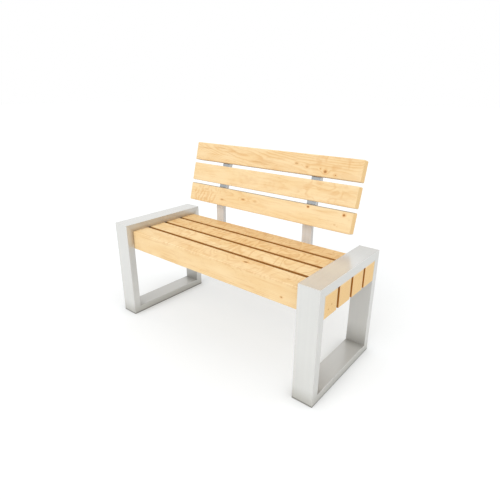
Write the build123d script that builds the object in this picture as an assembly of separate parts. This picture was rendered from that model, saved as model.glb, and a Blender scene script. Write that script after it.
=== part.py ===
from build123d import *
import os
from math import cos, radians, sin, tan

# A public bench: two closed box-section end frames, four seat beams that run through them,
# and three back slats on two bent flat bars. X runs along the bench, Y to the back, Z up.
# The origin is on the floor, in the middle between the four ground anchors. Sizes are in millimetres.

# Overall
bench_length = 1200.0  # outer face of one end frame to outer face of the other
seat_height = 464.0  # floor to the top of the seat beams

# End frames, of box section
tube_width = 93.0  # along the bench
tube_depth = 38.0  # in the plane of the loop
tube_wall = 3.0
tube_edge = 1.5  # outer rounding of the section's long edges
tube_inner_edge = 1.5

# Seat beams
beam_count = 4
beam_width = 93.0
beam_height = 93.0
beam_gap = 17.0
beam_edge = 1.0
beam_clearance = 0.5  # between an outer beam and the leg beside it

# Back slats
slat_count = 3
slat_height = 94.0
slat_thickness = 45.0
slat_gap = 17.0
slat_edge = 5.0
slat_end_inset = 110.5  # from the end frame's outer face to the slat's end
back_tilt = 15.0  # degrees from upright

# Back supports, of flat bar
bar_width = 50.0
bar_thickness = 20.0
bar_edge = 1.0
bar_bend_radius = 20.0  # inside the bend
bar_bend_height = 82.0  # from the seat's top to the bend
bend_to_slat = 10.0  # along the slope, from the bend to the lowest slat
bar_foot_inset = 6.0  # from the rear beam's underside up to the bar's foot
bar_top_inset = 14.0  # from the top slat's top edge down to the bar's top
left_bar_inset = 193.0  # from the slats' left end to the middle of the left bar
right_bar_inset = 232.0  # from the slats' right end to the middle of the right bar

# Fixings
hole_clearance = 0.5  # on the radius, where a shank passes through
thread_clearance = 0.15  # on the radius, where a thread holds
tip_gap = 3.0  # free depth of a hole past a screw's tip, or past the wall that it goes through
tip_chamfer = 1.0
mouth_overcut = 1.0  # how far a hole's cutter stands out of its mouth

seat_bolt_radius = 4.0
seat_bolt_head_width = 13.0  # across flats
seat_bolt_head_height = 5.5
seat_bolt_inset = 24.0  # from the end frame's outer and inner faces to the two bolts in a beam end
seat_bolt_past_nut = 2.5
seat_washer_radius = 12.0
seat_washer_thickness = 2.0
counterbore_clearance = 2.0  # around the washer
head_recess = 6.5  # from the beam's underside up to the bolt's head
rail_nut_width = 13.0
rail_nut_height = 6.5

support_screw_radius = 4.0
support_screw_grip = 43.0  # in the rear beam
support_screw_head_width = 13.0
support_screw_head_height = 5.5
support_screw_inset = 21.0  # from the rear beam's top and underside
support_washer_radius = 10.0
support_washer_thickness = 2.0

slat_screw_radius = 3.0
slat_screw_cover = 15.0  # wood left in front of the screw's tip
slat_screw_head_width = 10.0
slat_screw_head_height = 4.0
slat_screw_inset = 30.0  # from the slat's long edges

anchor_inset = 100.0  # from the end frame's front and back to the two ground anchors in its foot rail
anchor_thread_radius = 5.0
anchor_nut_width = 17.0
anchor_nut_height = 8.0

# Places that follow from the sizes above
beam_pitch = beam_width + beam_gap
inner_depth = beam_count * beam_width + (beam_count - 1) * beam_gap + 2 * beam_clearance
frame_depth = inner_depth + 2 * tube_depth
frame_height = seat_height + tube_depth
frame_middle_x = (bench_length - tube_width) / 2
beam_underside = seat_height - beam_height
beam_middle = seat_height - beam_height / 2
rear_beam_back = inner_depth / 2 - beam_clearance
slat_length = bench_length - 2 * slat_end_inset
slat_pitch = slat_height + slat_gap
bend_z = seat_height + bar_bend_height
slope_top = bend_to_slat + slat_count * slat_pitch - slat_gap - bar_top_inset
slope_sine = sin(radians(back_tilt))
slope_cosine = cos(radians(back_tilt))

frame_places = {"left": -frame_middle_x, "right": frame_middle_x}
bar_places = {
    "left": left_bar_inset - slat_length / 2,
    "right": slat_length / 2 - right_bar_inset,
}
beam_places = [(i - (beam_count - 1) / 2) * beam_pitch for i in range(beam_count)]
slat_places = [bend_to_slat + slat_height / 2 + i * slat_pitch for i in range(slat_count)]
bolt_offsets = [seat_bolt_inset - tube_width / 2, tube_width / 2 - seat_bolt_inset]
anchor_places = [anchor_inset - frame_depth / 2, frame_depth / 2 - anchor_inset]
support_screw_heights = [beam_underside + support_screw_inset, seat_height - support_screw_inset]
support_screw_length = support_washer_thickness + bar_thickness + support_screw_grip
slat_screw_offsets = [slat_screw_inset - slat_height / 2, slat_height / 2 - slat_screw_inset]
slat_screw_places = [place + offset for place in slat_places for offset in slat_screw_offsets]
slat_screw_length = bar_thickness + slat_thickness - slat_screw_cover
counterbore_radius = seat_washer_radius + counterbore_clearance
counterbore_depth = head_recess + seat_bolt_head_height + seat_washer_thickness

# The bars' sloping front face, which the slats lie on: X along the bench, Y up the slope,
# Z towards the sitter, measured from the bend.
slope = Plane(
    origin=(0, rear_beam_back, bend_z),
    x_dir=(1, 0, 0),
    z_dir=(0, -slope_cosine, slope_sine),
)
downward = Plane.XY.rotated((180, 0, 0))
backward = Plane(origin=(0, 0, 0), x_dir=(1, 0, 0), z_dir=(0, 1, 0))
slope_backward = Plane(origin=slope.origin, x_dir=(1, 0, 0), z_dir=-slope.z_dir)


def save(name, *solids):
    """One STEP file for a node, with one solid or a group of separate ones."""
    shape = solids[0] if len(solids) == 1 else Compound(list(solids))
    export_step(shape, f"parts/{name}.step")


def facing(plane, place):
    """Where a fixing sits: at a point, with its head towards the plane's normal."""
    return Plane(origin=place, x_dir=plane.x_dir, z_dir=plane.z_dir).location


def drill(radius, depth):
    """A round hole's cutter, from just above its mouth at the origin down to its depth."""
    return Pos(0, 0, (mouth_overcut - depth) / 2) * Cylinder(radius, depth + mouth_overcut)


def hex_screw(radius, length, head_width, head_height):
    """A hexagon-headed screw: its head stands up from the origin and its shank points down."""
    head = extrude(RegularPolygon(head_width / 2, 6, major_radius=False), head_height)
    shank = Pos(0, 0, -length / 2) * Cylinder(radius, length)
    tip = shank.edges().filter_by(GeomType.CIRCLE).sort_by(Axis.Z)[0]
    return (head + chamfer(tip, tip_chamfer)).solid()


def hex_nut(width, height, bore_radius):
    """A hexagon nut that stands up from the origin."""
    return extrude(RegularPolygon(width / 2, 6, major_radius=False) - Circle(bore_radius), height).solid()


def washer(inner_radius, outer_radius, thickness):
    """A plain washer that stands up from the origin."""
    return extrude(Circle(outer_radius) - Circle(inner_radius), thickness).solid()


def board(length, depth, height, edge):
    """A planed timber, centred on the origin, with all of its edges rounded alike."""
    blank = Box(length, depth, height)
    return fillet(blank.edges(), edge)


def mitred_tube(length):
    """A box-section tube from the origin up, cut at 45 degrees so that its -Y face is the longer one."""
    section = RectangleRounded(tube_width, tube_depth, tube_edge)
    section -= RectangleRounded(tube_width - 2 * tube_wall, tube_depth - 2 * tube_wall, tube_inner_edge)
    tube = extrude(section, length)
    foot_cut = Plane(origin=(0, -tube_depth / 2, 0), x_dir=(1, 0, 0), z_dir=(0, -1, 1))
    head_cut = Plane(origin=(0, -tube_depth / 2, length), x_dir=(1, 0, 0), z_dir=(0, -1, -1))
    tube = split(tube, foot_cut, keep=Keep.TOP)
    return split(tube, head_cut, keep=Keep.TOP)


def end_frame(middle_x):
    """The four tubes of one loop, by name, with the holes for the seat bolts and the ground anchors."""
    front = tube_depth / 2 - frame_depth / 2
    top = frame_height - tube_depth / 2
    tubes = {
        "front_leg": Pos(middle_x, front, 0) * mitred_tube(frame_height),
        "top_rail": Pos(middle_x, -frame_depth / 2, top) * Rot(-90, 0, 0) * mitred_tube(frame_depth),
        "rear_leg": Pos(middle_x, -front, frame_height) * Rot(180, 0, 0) * mitred_tube(frame_height),
        "foot_rail": Pos(middle_x, frame_depth / 2, tube_depth / 2) * Rot(90, 0, 0) * mitred_tube(frame_depth),
    }
    bolt_hole = drill(seat_bolt_radius + hole_clearance, tube_wall + tip_gap)
    for x, y in seat_bolt_places(middle_x):
        tubes["top_rail"] -= facing(downward, (x, y, seat_height)) * bolt_hole
    anchor_hole = drill(anchor_thread_radius + hole_clearance, tube_wall + tip_gap)
    for y in anchor_places:
        tubes["foot_rail"] -= facing(downward, (middle_x, y, 0)) * anchor_hole
    return tubes


def seat_bolt_places(middle_x):
    """Where the seat bolts of one end frame stand, in plan."""
    return [(middle_x + offset, y) for y in beam_places for offset in bolt_offsets]


def seat_beam(y):
    """One seat beam, with the counterbored holes for the bolts at both ends."""
    beam = Pos(0, y, beam_middle) * board(bench_length, beam_width, beam_height, beam_edge)
    counterbore = drill(counterbore_radius, counterbore_depth)
    bolt_hole = drill(seat_bolt_radius + hole_clearance, beam_height + tip_gap)
    for middle_x in frame_places.values():
        for offset in bolt_offsets:
            mouth = facing(downward, (middle_x + offset, y, beam_underside))
            beam -= mouth * counterbore
            beam -= mouth * bolt_hole
    return beam


def rear_beam_holes():
    """The blind holes for the screws that hold the supports on the rear beam's back."""
    hole = drill(support_screw_radius + thread_clearance, support_screw_grip + tip_gap)
    return [
        facing(backward, (x, rear_beam_back, z)) * hole
        for x in bar_places.values()
        for z in support_screw_heights
    ]


def back_slat(place):
    """One back slat on the slope, with the blind holes for its screws."""
    blank = board(slat_length, slat_height, slat_thickness, slat_edge)
    slat = slope.location * Pos(0, place, slat_thickness / 2) * blank
    hole = drill(slat_screw_radius + thread_clearance, slat_thickness - slat_screw_cover + tip_gap)
    for x in bar_places.values():
        for offset in slat_screw_offsets:
            mouth = slope.from_local_coords((x, place + offset, 0))
            slat -= facing(slope_backward, mouth) * hole
    return slat


def back_support(x):
    """A flat bar, upright behind the rear beam and bent back behind the slats, drilled for its screws."""
    foot_z = beam_underside + bar_foot_inset
    bend_shift = bar_thickness * tan(radians(back_tilt) / 2)
    back_y = rear_beam_back + bar_thickness
    front_bend = (rear_beam_back, bend_z)
    back_bend = (back_y, bend_z - bend_shift)
    front_top = (rear_beam_back + slope_top * slope_sine, bend_z + slope_top * slope_cosine)
    back_top = (front_top[0] + bar_thickness * slope_cosine, front_top[1] - bar_thickness * slope_sine)
    outline = Polygon(
        (rear_beam_back, foot_z), front_bend, front_top, back_top, back_bend, (back_y, foot_z), align=None
    )
    outline = fillet(outline.vertices().sort_by_distance(front_bend)[0], bar_bend_radius + bar_thickness)
    outline = fillet(outline.vertices().sort_by_distance(back_bend)[0], bar_bend_radius)
    bar_middle = Plane(origin=(x, 0, 0), x_dir=(0, 1, 0), z_dir=(1, 0, 0))
    bar = extrude(bar_middle * outline, bar_width / 2, both=True)
    sides = bar.faces().filter_by(Axis.X)
    bar = fillet(sides.edges(), bar_edge)
    beam_hole = drill(support_screw_radius + hole_clearance, bar_thickness + tip_gap)
    for z in support_screw_heights:
        bar -= facing(backward, (x, back_y, z)) * beam_hole
    slat_hole = drill(slat_screw_radius + hole_clearance, bar_thickness + tip_gap)
    for place in slat_screw_places:
        mouth = slope.from_local_coords((x, place, -bar_thickness))
        bar -= facing(slope_backward, mouth) * slat_hole
    return bar


def seat_fixings():
    """The seat bolts, their washers in the beams' counterbores and the weld nuts in the top rails."""
    bearing_z = beam_underside + counterbore_depth
    head_z = bearing_z - seat_washer_thickness
    nut_z = seat_height + tube_wall
    length = nut_z + rail_nut_height + seat_bolt_past_nut - head_z
    bolt = hex_screw(seat_bolt_radius, length, seat_bolt_head_width, seat_bolt_head_height)
    ring = washer(seat_bolt_radius + hole_clearance, seat_washer_radius, seat_washer_thickness)
    nut = hex_nut(rail_nut_width, rail_nut_height, seat_bolt_radius + thread_clearance)
    places = [place for x in frame_places.values() for place in seat_bolt_places(x)]
    bolts = [facing(downward, (x, y, head_z)) * bolt for x, y in places]
    washers = [facing(downward, (x, y, bearing_z)) * ring for x, y in places]
    nuts = [Pos(x, y, nut_z) * nut for x, y in places]
    return bolts, washers, nuts


def support_fixings():
    """The coach screws that hold the supports on the rear beam, and their washers."""
    screw = hex_screw(
        support_screw_radius, support_screw_length, support_screw_head_width, support_screw_head_height
    )
    ring = washer(support_screw_radius + hole_clearance, support_washer_radius, support_washer_thickness)
    bearing_y = rear_beam_back + bar_thickness
    places = [(x, z) for x in bar_places.values() for z in support_screw_heights]
    washers = [facing(backward, (x, bearing_y, z)) * ring for x, z in places]
    head_y = bearing_y + support_washer_thickness
    screws = [facing(backward, (x, head_y, z)) * screw for x, z in places]
    return screws, washers


def slat_fixings():
    """The screws that hold the slats, through the supports from behind."""
    screw = hex_screw(slat_screw_radius, slat_screw_length, slat_screw_head_width, slat_screw_head_height)
    return [
        facing(slope_backward, slope.from_local_coords((x, place, -bar_thickness))) * screw
        for x in bar_places.values()
        for place in slat_screw_places
    ]


def anchor_nuts():
    """The weld nuts over the holes in the foot rails' undersides."""
    nut = hex_nut(anchor_nut_width, anchor_nut_height, anchor_thread_radius + thread_clearance)
    return [Pos(x, y, tube_wall) * nut for x in frame_places.values() for y in anchor_places]


os.makedirs("parts", exist_ok=True)

for side, middle_x in frame_places.items():
    for name, tube in end_frame(middle_x).items():
        save(f"{side}_{name}", tube)

beams = [seat_beam(y) for y in beam_places]
for hole in rear_beam_holes():
    beams[-1] -= hole
for number, beam in enumerate(beams, 1):
    save(f"seat_beam_{number}", beam)

for number, place in enumerate(slat_places, 1):
    save(f"back_slat_{number}", back_slat(place))

for side, x in bar_places.items():
    save(f"{side}_back_support", back_support(x))

seat_bolts, seat_washers, rail_nuts = seat_fixings()
save("seat_bolts", *seat_bolts)
save("seat_bolt_washers", *seat_washers)
save("top_rail_weld_nuts", *rail_nuts)

support_screws, support_washers = support_fixings()
save("support_screws", *support_screws)
save("support_screw_washers", *support_washers)

save("slat_screws", *slat_fixings())
save("ground_anchor_nuts", *anchor_nuts())
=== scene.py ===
import math

import bmesh
import bpy
from mathutils import Matrix

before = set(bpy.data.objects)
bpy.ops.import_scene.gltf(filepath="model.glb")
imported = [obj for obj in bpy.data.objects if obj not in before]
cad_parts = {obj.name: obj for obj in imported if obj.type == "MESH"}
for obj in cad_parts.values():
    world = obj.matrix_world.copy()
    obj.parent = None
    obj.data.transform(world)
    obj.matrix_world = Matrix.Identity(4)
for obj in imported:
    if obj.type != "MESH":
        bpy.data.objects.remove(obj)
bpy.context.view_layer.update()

# End frames
# Two closed loops of rectangular steel tube, cut at 45 degrees, welded at the four corners and
# ground flush. They are brushed along each tube and left satin, with painted shade inside the loops,
# in their corners and near the floor, warm painted shade and reflection of the timber by the seat,
# and a painted highlight on the arrises.
loop_inner_x, loop_outer_x = 0.507, 0.600
loop_half_depth, loop_height = 0.250, 0.502
loop_tube_depth = 0.038
seat_top, seat_half_depth = 0.464, 0.2115
reflection_depth, reflection_fade = 0.054, 0.026
low_shade_height, low_fade_height, contact_shade_height = 0.080, 0.260, 0.010
steel_light = (0.730, 0.730, 0.710, 1.0)
steel_dark = (0.695, 0.695, 0.676, 1.0)
steel_edge_highlight = (0.900, 0.900, 0.885, 1.0)
weld_straw = (0.640, 0.610, 0.560, 1.0)
loop_shade_grey = (0.555, 0.550, 0.525, 1.0)
low_shade_grey = (0.475, 0.465, 0.425, 1.0)
contact_shade_dark = (0.180, 0.175, 0.155, 1.0)
timber_reflection_tone = (0.340, 0.200, 0.050, 1.0)


class Shade:
    """A socket in a material's node tree. Arithmetic with it adds Math nodes to that tree."""

    def __init__(self, tree, socket=None):
        self.tree = tree
        self.socket = socket

    def node(self, kind, settings, sockets, out=0):
        made = self.tree.nodes.new(kind)
        for name, value in settings.items():
            if name == "stops":
                stops = made.color_ramp.elements
                while len(stops) < len(value):
                    stops.new(1.0)
                for stop, (place, level) in zip(stops, value):
                    stop.position = place
                    stop.color = (level, level, level, 1.0)
            else:
                setattr(made, name, value)
        for name, value in sockets.items():
            if isinstance(value, Shade):
                self.tree.links.new(value.socket, made.inputs[name])
            else:
                made.inputs[name].default_value = value
        return Shade(self.tree, made.outputs[out] if len(made.outputs) else None)

    def maths(self, operation, first, second=0.0):
        return self.node("ShaderNodeMath", {"operation": operation}, {0: first, 1: second})

    def __add__(self, other):
        return self.maths("ADD", self, other)

    def __radd__(self, other):
        return self.maths("ADD", other, self)

    def __sub__(self, other):
        return self.maths("SUBTRACT", self, other)

    def __rsub__(self, other):
        return self.maths("SUBTRACT", other, self)

    def __mul__(self, other):
        return self.maths("MULTIPLY", self, other)

    def __rmul__(self, other):
        return self.maths("MULTIPLY", other, self)

    def __truediv__(self, other):
        return self.maths("DIVIDE", self, other)

    def __abs__(self):
        return self.maths("ABSOLUTE", self)

    def least(self, other):
        return self.maths("MINIMUM", self, other)

    def most(self, other):
        return self.maths("MAXIMUM", self, other)

    def root(self):
        return self.maths("SQRT", self)

    def part(self):
        return self.maths("FRACT", self)

    def crest(self):
        """One ridge to each whole step: 1 in its middle, 0 at its ends."""
        return 1.0 - abs(self.part() - 0.5) * 2.0

    def ease(self, start, end):
        """0 before start and 1 past end, with a soft step between them."""
        return self.node("ShaderNodeMapRange", {"interpolation_type": "SMOOTHSTEP"},
                         {"Value": self, "From Min": start, "From Max": end})

    def blend(self, first, second):
        """The first colour where this is 0, the second where it is 1."""
        return self.node("ShaderNodeMix", {"data_type": "RGBA"}, {0: self, 6: first, 7: second}, out=2)

    def stretched(self, x, y, z):
        return self.node("ShaderNodeVectorMath", {"operation": "MULTIPLY"}, {0: self, 1: (x, y, z)})

    def shifted(self, x, y, z):
        return self.node("ShaderNodeVectorMath", {"operation": "ADD"}, {0: self, 1: (x, y, z)})

    def noise(self, detail=2.0, roughness=0.5, distortion=0.0):
        """Cloudy noise from 0 to 1, about 0.5 on average, one unit to a cell."""
        return self.node("ShaderNodeTexNoise", {}, {
            "Vector": self, "Scale": 1.0, "Detail": detail, "Roughness": roughness,
            "Distortion": distortion})

    def axes(self):
        split = self.node("ShaderNodeSeparateXYZ", {}, {"Vector": self})
        return [Shade(self.tree, socket) for socket in split.socket.node.outputs]


def new_material(name):
    material = bpy.data.materials.new(name)
    material.use_nodes = True
    material.node_tree.nodes.clear()
    return material, Shade(material.node_tree)


def finish_material(shade, colour, roughness, metallic, specular, height, depth, strength):
    """A surface of that colour, with height as fine relief of that depth, held back to strength."""
    normal = shade.node("ShaderNodeBump", {}, {"Strength": strength, "Distance": depth, "Height": height})
    surface = shade.node("ShaderNodeBsdfPrincipled", {}, {
        "Base Color": colour, "Roughness": roughness, "Metallic": metallic,
        "Specular IOR Level": specular, "Normal": normal})
    shade.node("ShaderNodeOutputMaterial", {}, {"Surface": surface})


def dress(node_names, material):
    for node_name in node_names:
        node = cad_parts[node_name]
        for slot in node.material_slots:
            slot.material = material


def brush_marks(place, brush):
    """Fine marks and broad bands along the brushing, handling clouds and smears, each from 0 to 1."""
    marks = place.stretched(*brush).noise(3.0, 0.65)
    bands = place.stretched(*(0.16 * turns for turns in brush)).noise(2.0, 0.6)
    clouds = place.stretched(7.0, 7.0, 7.0).noise(3.0, 0.55)
    smears = place.shifted(3.1, 1.7, 0.4).stretched(38.0, 38.0, 38.0).noise(2.0, 0.6)
    return marks, bands, clouds, smears


def loop_steel(name, brush, hollow_shade, inner_shade, corner_reach):
    """Satin steel, with painted shade in the loop and near the floor and a painted wood reflection by the
    seat.

    brush is how many marks a metre takes on each axis. hollow_shade and inner_shade say how much
    painted shade greys the loop's hollow and its inner side, and corner_reach how far painted shade
    reaches from a corner.
    """
    material, shade = new_material(name)
    place = shade.node("ShaderNodeTexCoord", {}, {}, out="Object")
    x, y, z = place.axes()
    marks, bands, clouds, smears = brush_marks(place, brush)
    from_end = loop_half_depth - abs(y)
    from_level = z.least(loop_height - z)
    inwards = from_end.least(from_level)
    along = from_end.most(from_level)
    sideways = (abs(x) - loop_inner_x).least(loop_outer_x - abs(x))
    arris = 1.0 - sideways.most(inwards.least(loop_tube_depth - inwards)).ease(0.0004, 0.0016)
    seam = 1.0 - abs(from_end - from_level).ease(0.0003, 0.0016)
    seam = seam * (1.0 - along.ease(loop_tube_depth, loop_tube_depth + 0.001))
    hollow = inwards.ease(loop_tube_depth - 0.0025, loop_tube_depth - 0.0005)
    inner_side = 1.0 - abs(x).ease(loop_inner_x + 0.0004, loop_inner_x + 0.0020)
    outer_side = abs(x).ease(loop_outer_x - 0.0030, loop_outer_x - 0.0008)
    # Painted shade darkens the top of the right top rail towards its rear.
    rear_rail_shade = z.ease(loop_height - 0.0015, loop_height - 0.0004) * x.ease(0.3, 0.5) * y.ease(0.02, 0.20)
    # Painted shade greys the loop's hollow, its inner side above the feet, its outer side and the rear of
    # the right top rail.
    loop_shade = (hollow_shade * hollow).most(inner_shade * inner_side * z.ease(0.10, 0.40))
    loop_shade = loop_shade.most(0.24 * outer_side).most(0.54 * rear_rail_shade)
    # Painted warm shade and reflection of the timber on the inner sides where the seat beams pass.
    beside = (abs(y) - seat_half_depth).most(z - seat_top).most(seat_top - reflection_depth - z)
    timber_reflection = inner_side * (1.0 - beside.ease(0.0, reflection_fade))
    # Painted shade in the loop's inner corners.
    corner = hollow * (1.0 - along.ease(loop_tube_depth - 0.010, loop_tube_depth + corner_reach))
    # Painted shade, darker towards the floor and less in the hollow.
    low_shade = (1.0 - z.ease(0.0, low_shade_height)) * (0.66 + 0.12 * clouds)
    low_shade = low_shade + 0.14 * (1.0 - z.ease(0.03, low_fade_height))
    low_shade = low_shade * (1.0 - 0.75 * hollow)
    # A painted contact shadow just above the floor.
    contact_shade = 1.0 - z.ease(0.2 * contact_shade_height, contact_shade_height)
    colour = (0.15 * marks + 0.35 * bands + 0.50 * clouds).ease(0.32, 0.68).blend(steel_dark, steel_light)
    colour = loop_shade.blend(colour, loop_shade_grey)
    # A painted highlight on the arrises, which are also a little smoother.
    colour = (0.06 * arris).blend(colour, steel_edge_highlight)
    colour = (0.30 * seam).blend(colour, weld_straw)
    colour = (0.50 * timber_reflection).blend(colour, timber_reflection_tone)
    colour = low_shade.blend(colour, low_shade_grey)
    colour = (0.85 * contact_shade).most(0.50 * corner).blend(colour, contact_shade_dark)
    roughness = 0.16 + 0.05 * marks + 0.02 * bands + 0.04 * clouds - 0.04 * arris
    roughness = roughness + 0.12 * hollow.most(inner_side).most(outer_side) + 0.12 * seam + 0.01 * low_shade
    finish_material(shade, colour, roughness, metallic=0.45, specular=0.5,
                    height=marks + 0.25 * smears - 1.5 * seam, depth=0.0002, strength=0.01)
    return material


upright_steel = loop_steel("satin_steel_upright", brush=(620.0, 620.0, 9.0),
                           hollow_shade=0.47, inner_shade=0.40, corner_reach=0.120)
level_steel = loop_steel("satin_steel_level", brush=(620.0, 9.0, 620.0),
                         hollow_shade=0.42, inner_shade=0.76, corner_reach=0.055)
for side in ("left", "right"):
    dress((f"{side}_front_leg", f"{side}_rear_leg"), upright_steel)
    dress((f"{side}_top_rail", f"{side}_foot_rail"), level_steel)

# Seat beams
# Four square timbers of pale softwood, planed on all sides with the arrises just eased, then oiled.
# They run through both loops right under the top rails and are bolted up into them.
beam_half = (0.600, 0.0465, 0.0465)
beam_middle_z = seat_top - beam_half[2]
beam_pitch = 0.110
timber_pale = (0.900, 0.650, 0.345)
timber_cream = (0.935, 0.710, 0.415)
timber_amber = (0.670, 0.365, 0.135, 1.0)
timber_end = (1.000, 0.722, 0.365, 1.0)
timber_edge_highlight = (1.000, 0.810, 0.520, 1.0)
timber_fleck = (0.560, 0.270, 0.080, 1.0)
gap_shade_brown = (0.385, 0.150, 0.016, 1.0)
gap_end_shade_brown = (0.540, 0.200, 0.019, 1.0)
underside_shade_grey = (0.480, 0.400, 0.300, 1.0)
knot_brown = (0.330, 0.125, 0.030, 1.0)
knot_halo = (0.740, 0.390, 0.130, 1.0)


def planed_timber(name, middle, lean, half, board):
    """Solid timber: year rings round a heart that runs along the board, with knots through it.

    heart is where the rings' middle lies from the board's middle (across, up), drift how it strays
    along the board and bow how it bends. ring is a year's width, figure how dark the late wood is,
    mottle how dark the blotches are, tint the board's own tone, lowered on some boards as painted
    shade, and seed sets its noise apart. A knot is (along, beside, radius, stretch, darkness, axis that
    it runs on). A streak of resin is (along, up, half length, half width, slope, darkness). A curl is a
    patch of flowing figure (along, up, reach along, reach up, turns along, turns across, lines,
    strength), and a ripple a patch of slanting bars (along, up, reach along, reach up, bars along, bars
    up, strength). A face is (axis, side, amount, colour, band) of one that carries painted shade, from
    band below its arris.
    """
    half_length, half_depth, half_height = half
    seed, ring, figure = board["seed"], board["ring"], board["figure"]
    pale = tuple(level * share for level, share in zip(timber_pale, board["tint"])) + (1.0,)
    cream = tuple(level * share for level, share in zip(timber_cream, board["tint"])) + (1.0,)
    material, shade = new_material(name)
    objects = shade.node("ShaderNodeTexCoord", {}, {}, out="Object")
    place = shade.node("ShaderNodeMapping", {"vector_type": "TEXTURE"},
                       {"Vector": objects, "Location": middle, "Rotation": (lean, 0.0, 0.0)})
    x, y, z = place.axes()
    own = place.shifted(seed * 2.37, seed * 0.71, seed * 0.43)
    sweep = own.stretched(1.3, 6.0, 6.0).noise(1.0, 0.4) - 0.5
    wander = own.stretched(4.5, 16.0, 16.0).noise(2.0, 0.5) - 0.5
    ripple = own.stretched(16.0, 60.0, 60.0).noise(2.0, 0.5) - 0.5
    swirl = own.stretched(22.0, 26.0, 26.0).noise(2.0, 0.5, 0.8) - 0.5
    blotches = own.stretched(24.0, 46.0, 46.0).noise(2.0, 0.6, 0.6)
    streaks = own.stretched(7.0, 150.0, 150.0).noise(2.0, 0.55)
    fibres = own.stretched(18.0, 800.0, 800.0).noise(3.0, 0.6)
    flecks = own.stretched(42.0, 330.0, 330.0).noise(1.0, 0.5)
    clouds = own.stretched(5.0, 21.0, 21.0).noise(2.0, 0.5)
    across = y - board["heart"][0] - board["drift"][0] * x
    up = z - board["heart"][1] - x * (board["drift"][1] + board["bow"] * x)
    radius = (across * across + up * up).root() + 0.030 * sweep + 0.014 * wander + 0.0020 * ripple

    def patch(along, beside, reach_along, reach_up):
        """1 in an oval with a ragged rim, and 0 outside it."""
        dx = (x - along) / reach_along
        dz = (z - beside) / reach_up
        return 1.0 - (dx * dx + dz * dz + 1.6 * swirl).ease(0.25, 1.0)

    figures = []
    for along, beside, reach_along, reach_up, turns_along, turns_across, lines, strength in board["curls"]:
        flow = own.stretched(turns_along, turns_across, turns_across).noise(1.0, 0.35, 0.5)
        crest = (lines * flow).crest().ease(0.32, 1.0)
        figures.append(strength * patch(along, beside, reach_along, reach_up) * crest)
    for along, beside, reach_along, reach_up, bars_along, bars_up, strength in board.get("ripples", ()):
        crest = (bars_along * x + bars_up * z + 2.4 * swirl).crest().ease(0.25, 0.95)
        figures.append(strength * patch(along, beside, reach_along, reach_up) * crest)
    rims, cores = [], []
    for along, beside, size, stretch, darkness, axis in board["knots"]:
        first, second = {"x": (y, z), "y": (x, z), "z": (x, y)}[axis]
        dx = (first - along) / stretch
        dz = second - beside
        away = (dx * dx + dz * dz).root() / size + 1.4 * ripple + 0.7 * swirl
        radius = radius + (size * 0.8) * (1.0 - away.ease(0.2, 3.5))
        rims.append(darkness * (1.0 - away.ease(0.60, 2.20)))
        cores.append(darkness * (1.0 - away.ease(0.45, 1.05)))
    cycle = (radius / ring).part()
    year = shade.node("ShaderNodeValToRGB", {
        "stops": ((0.0, 0.30), (0.12, 0.0), (0.50, 0.20), (0.88, 1.0), (1.0, 0.30))}, {"Fac": cycle})
    late = year * (0.30 + 0.70 * clouds.ease(0.32, 0.66))
    colour = clouds.ease(0.28, 0.72).blend(cream, pale)
    colour = (figure * late).blend(colour, timber_amber)
    for patch_figure in figures:
        colour = patch_figure.blend(colour, timber_amber)
    colour = (board["mottle"] * blotches.ease(0.52, 0.80)).blend(colour, timber_fleck)
    colour = (0.38 * streaks.ease(0.52, 0.78)).blend(colour, timber_amber)
    colour = (0.14 * fibres.ease(0.50, 0.80)).blend(colour, timber_amber)
    colour = (0.40 * flecks.ease(0.66, 0.80)).blend(colour, timber_fleck)
    for along, beside, half_run, half_width, slope, darkness in board["resin"]:
        dx = (x - along) / half_run
        dz = (z - beside - slope * (x - along) + 0.006 * wander) / half_width
        seep = 1.0 - (dx * dx + dz * dz + 1.2 * ripple).ease(0.1, 1.0)
        colour = (darkness * seep).blend(colour, timber_fleck)
    end = abs(x).ease(half_length - 0.0012, half_length - 0.0004)
    pores = place.stretched(20.0, 900.0, 900.0).noise(2.0, 0.6)
    end_colour = (0.52 * year + 0.26 * pores.ease(0.45, 0.75)).blend(timber_end, timber_amber)
    colour = end.blend(colour, end_colour)
    for rim, core in zip(rims, cores):
        colour = (0.70 * rim).blend(colour, knot_halo)
        colour = (0.90 * core).blend(colour, knot_brown)
    # A painted highlight along the long arrises and round the end faces.
    from_side, from_edge = half_depth - abs(y), half_height - abs(z)
    arris = 0.24 * (1.0 - from_side.most(from_edge).ease(0.0005, 0.0050))
    arris = arris.most(0.45 * end * (1.0 - from_side.least(from_edge).ease(0.0010, 0.0060)))
    colour = arris.blend(colour, timber_edge_highlight)
    near_end = abs(x).ease(half_length - 0.012, half_length - 0.006)
    # Painted shade on the faces that the board lists, browner near the ends of the sides in the gaps.
    for axis, side, amount, face_colour, band in board["faces"]:
        reach = half_depth if axis == "y" else half_height
        facing = (side * (y if axis == "y" else z)).ease(reach - band, reach - 0.1 * band)
        # On a leaning board the painted shade covers only the sitter's half of its edge.
        if lean:
            facing = facing * (1.0 - y.ease(-0.4 * half_depth, 0.5 * half_depth))
        if axis == "y":
            face_colour = near_end.blend(face_colour, gap_end_shade_brown)
        colour = (amount * facing).blend(colour, face_colour)
    roughness = 0.50 + 0.12 * fibres + 0.06 * late + 0.12 * end
    height = 0.50 * fibres + 0.35 * streaks - 0.35 * late - 0.40 * flecks.ease(0.66, 0.80)
    finish_material(shade, colour, roughness, metallic=0.0, specular=0.15,
                    height=height, depth=0.0004, strength=0.25)
    return material


# Painted shade: brown on the beam sides that face the gaps, grey on the undersides, which also dims their
# warm bounce onto the floor.
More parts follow.
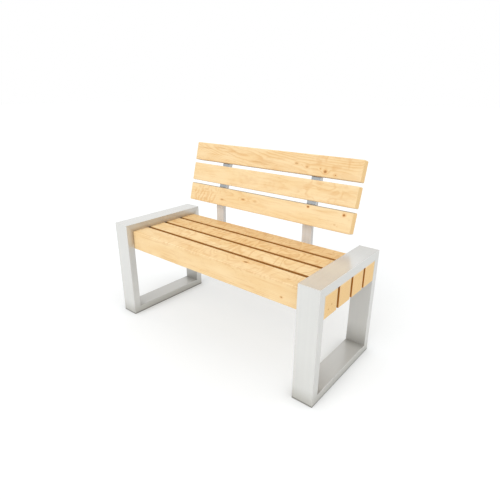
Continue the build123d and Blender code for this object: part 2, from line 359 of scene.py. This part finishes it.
gap_front_shade = ("y", -1.0, 0.92, gap_shade_brown, 0.001)
gap_back_shade = ("y", 1.0, 0.92, gap_shade_brown, 0.001)
underside_shade = ("z", -1.0, 0.70, underside_shade_grey, 0.002)
# The two rear beams' deeper tints are painted shade from the backrest above them.
beam_boards = (
    {"heart": (0.030, -0.085), "drift": (0.010, 0.014), "ring": 0.0042, "figure": 0.26, "seed": 1.0,
     "tint": (0.990, 0.995, 0.990), "mottle": 0.14, "faces": (gap_back_shade, underside_shade),
     "knots": ((0.4137, -0.018, 0.0046, 1.4, 1.00, "y"), (0.187, 0.014, 0.0064, 1.9, 0.95, "z"),
               (0.420, -0.009, 0.0050, 2.0, 0.30, "z"), (-0.018, -0.016, 0.0030, 1.0, 0.95, "x"),
               (0.006, -0.004, 0.0026, 1.2, 0.60, "x")),
     "bow": 0.0, "curls": ((0.10, 0.046, 0.55, 0.014, 16.0, 8.0, 6.0, 0.28),), "resin": ()},
    {"heart": (-0.012, -0.090), "drift": (-0.012, 0.010), "ring": 0.0042, "figure": 0.28, "seed": 2.0,
     "tint": (0.998, 1.020, 1.014), "mottle": 0.28, "faces": (gap_front_shade, gap_back_shade, underside_shade), "knots": (),
     "bow": 0.0, "curls": ((0.05, 0.046, 0.60, 0.060, 17.0, 7.0, 6.0, 0.44),), "resin": ()},
    {"heart": (0.055, -0.070), "drift": (0.008, -0.016), "ring": 0.0040, "figure": 0.30, "seed": 3.0,
     "tint": (0.962, 0.942, 0.870), "mottle": 0.40, "faces": (gap_front_shade, gap_back_shade, underside_shade), "knots": (),
     "bow": 0.0, "curls": ((0.00, 0.046, 0.70, 0.060, 15.0, 8.0, 6.0, 0.56),), "resin": ()},
    {"heart": (-0.040, -0.085), "drift": (0.014, 0.012), "ring": 0.0044, "figure": 0.32, "seed": 4.0,
     "tint": (0.932, 0.882, 0.768), "mottle": 0.40, "faces": (gap_front_shade, underside_shade), "knots": (),
     "bow": 0.0, "curls": ((0.10, 0.046, 0.70, 0.060, 18.0, 9.0, 6.0, 0.50),), "resin": ()},
)
for number, board in enumerate(beam_boards, 1):
    middle = (0.0, (number - 2.5) * beam_pitch, beam_middle_z)
    dress((f"seat_beam_{number}",), planed_timber(f"seat_timber_{number}", middle, 0.0, beam_half, board))

# Back supports
# Two flat steel bars behind the rear beam, bent back to carry the slats. They are cut from bright
# bar, bent cold and brushed along their length, and stay a cooler grey than the loops.
bars_middle_x, bars_half_spacing, bar_half_width = -0.0195, 0.277, 0.025
slope_foot_y, slope_foot_z = 0.2115, 0.546
lean = math.radians(15.0)
bar_gap_shade = (0.440, 0.475, 0.500, 1.0)
bar_light = (0.690, 0.715, 0.745, 1.0)
bar_dark = (0.610, 0.636, 0.665, 1.0)
bar_steel, bar_shade = new_material("satin_bar")
bar_place = bar_shade.node("ShaderNodeTexCoord", {}, {}, out="Object")
bar_x, bar_y, bar_z = bar_place.axes()
bar_marks, bar_bands, bar_clouds, bar_smears = brush_marks(bar_place, (540.0, 540.0, 10.0))
bar_aside = abs(abs(bar_x - bars_middle_x) - bars_half_spacing)
bar_arris = bar_aside.ease(bar_half_width - 0.0030, bar_half_width - 0.0010)
bar_colour = (0.15 * bar_marks + 0.40 * bar_bands + 0.45 * bar_clouds).ease(0.32, 0.68)
bar_colour = bar_colour.blend(bar_dark, bar_light)
# The face that the slats cover, seen only through the gaps, carries painted shade in a darker blue grey,
# and is smoother and more metallic.
bar_proud = slope_foot_y - bar_y + math.tan(lean) * (bar_z - slope_foot_z)
bar_cover = bar_proud.ease(-0.0020, -0.0004) * bar_z.ease(slope_foot_z + 0.008, slope_foot_z + 0.018)
bar_colour = bar_cover.blend(bar_colour, bar_gap_shade)
# A painted highlight on the bars' arrises.
bar_colour = (0.10 * bar_arris).blend(bar_colour, steel_edge_highlight)
# Darker along the bars' side edges, and painted shade low down where they meet the seat.
bar_dark_rims_and_seat_shade = bar_aside.ease(bar_half_width - 0.0012, bar_half_width - 0.0004)
bar_dark_rims_and_seat_shade = bar_dark_rims_and_seat_shade.most(1.0 - bar_z.ease(seat_top + 0.010, seat_top + 0.050))
bar_colour = (0.12 * bar_dark_rims_and_seat_shade).blend(bar_colour, contact_shade_dark)
bar_roughness = 0.26 + 0.10 * bar_marks + 0.10 * bar_clouds - 0.06 * bar_arris - 0.16 * bar_cover
finish_material(bar_shade, bar_colour, bar_roughness, metallic=0.15 + 0.75 * bar_cover, specular=0.5,
                height=bar_marks + 0.25 * bar_smears, depth=0.0002, strength=0.06)
dress(("left_back_support", "right_back_support"), bar_steel)

# Backrest slats
# Three planed boards of the same timber, with well rounded edges, leaning back on the bars.
# They are screwed from behind, so no fixing shows on the sitter's side.
slat_half = (0.4895, 0.0225, 0.047)
# Painted shade on the slat edges that face into the gaps: the low slat's top and the top slat's lower edge.
slat_edge_shade_grey = (0.340, 0.280, 0.210, 1.0)
slat_first, slat_pitch = 0.010, 0.111
# The slats' tints are lowered a little as painted shade.
slat_boards = (
    {"heart": (0.085, 0.012), "drift": (0.008, -0.030), "ring": 0.0044, "figure": 0.34, "seed": 5.0,
     "tint": (0.926, 0.964, 0.994), "mottle": 0.12, "faces": (("z", 1.0, 0.92, slat_edge_shade_grey, 0.0042),),
     "knots": ((-0.2505, -0.0152, 0.0044, 2.6, 0.55, "y"), (-0.110, 0.0074, 0.0046, 2.6, 0.65, "y"),
               (-0.035, 0.009, 0.0060, 2.2, 0.22, "y"), (0.2687, 0.0352, 0.0046, 1.2, 1.00, "y"),
               (0.4487, 0.0294, 0.0062, 1.1, 1.00, "y"), (0.4144, -0.0188, 0.0036, 1.6, 0.25, "y")),
     "bow": 0.0, "ripples": ((-0.385, -0.014, 0.120, 0.046, 38.0, -16.0, 0.50),),
     "curls": ((-0.330, 0.030, 0.120, 0.024, 20.0, 20.0, 5.0, 0.40),),
     "resin": ((-0.330, -0.036, 0.030, 0.0030, 0.05, 0.35), (-0.375, 0.024, 0.018, 0.0060, 0.00, 0.30))},
    {"heart": (0.095, -0.006), "drift": (0.006, 0.020), "ring": 0.0048, "figure": 0.24, "seed": 6.0,
     "tint": (0.934, 0.968, 1.005), "mottle": 0.12, "faces": (), "knots": (),
     "bow": 0.0, "curls": ((0.320, 0.004, 0.170, 0.060, 12.0, 15.0, 5.0, 0.34),
                           (-0.060, -0.010, 0.220, 0.050, 9.0, 16.0, 4.0, 0.18)), "resin": ()},
    {"heart": (0.060, -0.020), "drift": (0.012, -0.110), "ring": 0.0052, "figure": 0.60, "seed": 7.0,
     "tint": (0.930, 0.948, 0.962), "mottle": 0.16, "faces": (("z", -1.0, 0.40, slat_edge_shade_grey, 0.0034),),
     "knots": ((0.3193, -0.0230, 0.0072, 1.2, 0.85, "y"), (0.3725, -0.0318, 0.0042, 1.3, 0.80, "y"),
               (0.1662, -0.0022, 0.0046, 2.0, 0.45, "y"), (0.2247, -0.0118, 0.0048, 1.7, 0.50, "y"),
               (0.2944, -0.0128, 0.0038, 1.2, 0.50, "y")),
     "bow": 0.180, "curls": ((0.350, 0.024, 0.100, 0.040, 16.0, 12.0, 4.0, 0.40),),
     "resin": ((-0.420, 0.0200, 0.065, 0.0040, -0.04, 0.42), (-0.305, 0.0270, 0.045, 0.0036, -0.10, 0.46),
               (-0.245, 0.0040, 0.060, 0.0034, -0.24, 0.34), (-0.205, 0.0150, 0.050, 0.0030, -0.22, 0.28),
               (-0.060, -0.0180, 0.045, 0.0036, 0.02, 0.42), (-0.010, -0.0250, 0.040, 0.0032, -0.05, 0.36),
               (0.020, -0.0140, 0.040, 0.0028, -0.04, 0.30))},
)
for number, board in enumerate(slat_boards, 1):
    up_slope = slat_first + slat_pitch * (number - 1) + slat_half[2]
    middle = (0.0, slope_foot_y + up_slope * math.sin(lean) - slat_half[1] * math.cos(lean),
              slope_foot_z + up_slope * math.cos(lean) + slat_half[1] * math.sin(lean))
    dress((f"back_slat_{number}",), planed_timber(f"slat_timber_{number}", middle, -lean, slat_half, board))

# Fixings
# Bolts, coach screws, washers and weld nuts of zinc plated steel. They sit in counterbores under
# the beams, behind the supports and inside the tubes, out of sight from the front.
zinc_light = (0.700, 0.705, 0.700, 1.0)
zinc_dark = (0.520, 0.530, 0.540, 1.0)
zinc, zinc_shade = new_material("zinc_plate")
zinc_place = zinc_shade.node("ShaderNodeTexCoord", {}, {}, out="Object")
zinc_cells = zinc_place.stretched(420.0, 420.0, 420.0).noise(2.0, 0.6)
zinc_grain = zinc_place.stretched(1900.0, 1900.0, 1900.0).noise(2.0, 0.5)
zinc_colour = zinc_cells.ease(0.3, 0.7).blend(zinc_dark, zinc_light)
finish_material(zinc_shade, zinc_colour, 0.34 + 0.18 * zinc_cells, metallic=1.0, specular=0.5,
                height=zinc_grain, depth=0.0001, strength=0.2)
dress(("seat_bolts", "seat_bolt_washers", "top_rail_weld_nuts", "support_screws", "support_screw_washers",
       "slat_screws", "ground_anchor_nuts"), zinc)

# Studio
# A plain pale floor under soft light from all round, with a broad lamp in front and a weaker one to
# the right. To the camera and in reflections the floor is nearly white, with the bench's soft shadow.
floor_half_size = 40.0
floor_plain = ((0.66, 0.66, 0.656, 1.0), (0.68, 0.68, 0.676, 1.0))
floor_shown = ((0.69, 0.69, 0.688, 1.0), (0.71, 0.71, 0.708, 1.0))
floor_glow_tone = (0.94, 0.985, 1.0, 1.0)
floor_glow_level, contact_reach = 0.325, 0.07
white = (1.0, 1.0, 1.0, 1.0)
white_level, sky_level = 1.0, 0.70


def seen_rays(shade):
    """1 for what the camera sees, straight or mirrored, and 0 for the light that falls on the bench."""
    path = shade.node("ShaderNodeLightPath", {}, {}).socket.node.outputs
    seen = Shade(shade.tree, path["Is Camera Ray"])
    for ray in ("Is Glossy Ray", "Is Transmission Ray"):
        seen = seen.most(Shade(shade.tree, path[ray]))
    return seen


floor_mesh = bpy.data.meshes.new("floor")
floor_form = bmesh.new()
bmesh.ops.create_grid(floor_form, x_segments=1, y_segments=1, size=floor_half_size)
floor_form.to_mesh(floor_mesh)
floor_form.free()
floor = bpy.data.objects.new("floor", floor_mesh)
bpy.context.collection.objects.link(floor)
floor_paint, floor_shade = new_material("floor_paint")
floor_place = floor_shade.node("ShaderNodeTexCoord", {}, {}, out="Object")
floor_speck = floor_place.stretched(260.0, 260.0, 260.0).noise(2.0, 0.5)
floor_seen = seen_rays(floor_shade)
floor_colour = floor_seen.blend(floor_speck.blend(*floor_plain), floor_speck.blend(*floor_shown))
floor_matt = floor_shade.node("ShaderNodeBsdfDiffuse", {}, {"Color": floor_colour})
# Near the bench the glow fades by ambient occlusion, which paints a soft contact shadow.
floor_open = floor_shade.node("ShaderNodeAmbientOcclusion", {"samples": 8},
                              {"Color": floor_glow_tone, "Distance": contact_reach})
floor_glow = floor_shade.node("ShaderNodeEmission", {}, {"Color": floor_open, "Strength": floor_glow_level})
floor_white = floor_shade.node("ShaderNodeAddShader", {}, {0: floor_matt, 1: floor_glow})
floor_surface = floor_shade.node("ShaderNodeMixShader", {},
                                 {0: floor_seen, 1: floor_matt, 2: floor_white})
floor_shade.node("ShaderNodeOutputMaterial", {}, {"Surface": floor_surface})
floor_mesh.materials.append(floor_paint)

sky = bpy.data.worlds.new("studio")
sky.use_nodes = True
sky.node_tree.nodes.clear()
sky_shade = Shade(sky.node_tree)
sky_soft = sky_shade.node("ShaderNodeBackground", {}, {"Color": white, "Strength": sky_level})
sky_white = sky_shade.node("ShaderNodeBackground", {}, {"Color": white, "Strength": white_level})
sky_surface = sky_shade.node("ShaderNodeMixShader", {},
                             {0: seen_rays(sky_shade), 1: sky_soft, 2: sky_white})
sky_shade.node("ShaderNodeOutputWorld", {}, {"Surface": sky_surface})
bpy.context.scene.world = sky

lamps = (
    ("front_lamp", 36.0, 0.0, 50.0, 0.43),
    ("right_lamp", 40.0, 90.0, 90.0, 0.21),
)
for lamp_name, elevation, bearing, spread, level in lamps:
    lamp_data = bpy.data.lights.new(lamp_name, "SUN")
    lamp_data.angle = math.radians(spread)
    lamp_data.energy = level * math.pi
    lamp = bpy.data.objects.new(lamp_name, lamp_data)
    lamp.rotation_euler = (math.radians(90.0 - elevation), 0.0, math.radians(bearing))
    bpy.context.collection.objects.link(lamp)

# Camera
# It stands to the right in front of the bench, higher than the back, and looks down at it. The
# picture is square.
camera_place = (1.18286, -1.35304, 1.12428)
camera_turn, camera_tip, camera_roll = 38.98, 68.78, 0.375
camera_data = bpy.data.cameras.new("camera")
camera_data.sensor_width = 36.0
camera_data.lens = 29.058
camera = bpy.data.objects.new("camera", camera_data)
turn = Matrix.Rotation(math.radians(camera_turn), 4, "Z")
tip = Matrix.Rotation(math.radians(camera_tip), 4, "X")
roll = Matrix.Rotation(math.radians(camera_roll), 4, "Z")
camera.matrix_world = Matrix.Translation(camera_place) @ turn @ tip @ roll
bpy.context.collection.objects.link(camera)
bpy.context.scene.camera = camera
bpy.context.scene.view_settings.view_transform = "Standard"
